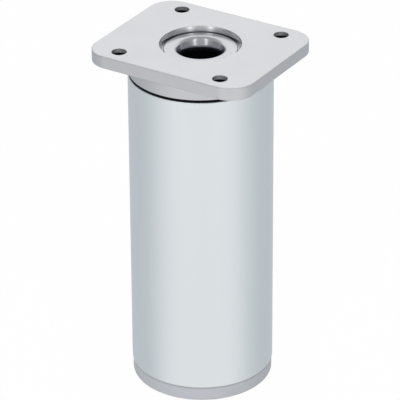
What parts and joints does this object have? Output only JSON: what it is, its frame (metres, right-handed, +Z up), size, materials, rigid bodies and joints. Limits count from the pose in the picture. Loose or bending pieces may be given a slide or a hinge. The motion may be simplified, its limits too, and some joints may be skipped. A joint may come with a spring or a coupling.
{
  "type": "adjustable furniture leg",
  "caption": "Round aluminium furniture leg with a cast screw-on plate and a foot that is levelled from above with a key.",
  "frame": {"origin": "centre of the foot's underside, with the leg screwed right in", "axes": "+Z up the leg's axis to the mounting plate, X along the plate's long side, Y along its short side"},
  "size_m": [0.0624, 0.052, 0.1275],
  "materials": {
    "cast_plate": "satin die casting",
    "tube": "matt silver anodised",
    "bush": "turned, nickel plated",
    "steel": "bright zinc plated",
    "black_plastic": "moulded",
    "grey_plastic": "moulded, fine texture"
  },
  "bodies": {
    "leg": {"mounting_plate": "cast_plate", "plate_bush": "bush", "top_plug": "black_plastic", "tube": "tube", "nut_carrier": "black_plastic", "spindle_nut": "steel"},
    "foot": {"foot": "grey_plastic", "thrust_washer": "steel"},
    "spindle": {"spindle": "steel", "retaining_ring": "steel"}
  },
  "joints": [
    {"name": "foot_slide", "type": "slide", "parent": "leg", "child": "foot", "axis": [0, 0, -1], "range_m": [0, 0.015]},
    {"name": "spindle_turn", "type": "hinge", "parent": "foot", "child": "spindle", "pos_m": [0, 0, 0.03], "axis": [0, 0, -1], "range_deg": [0, 3600]}
  ],
  "couplings": [
    {"joint": "spindle_turn", "follows": "foot_slide", "rad_per_m": 4188.8}
  ]
}
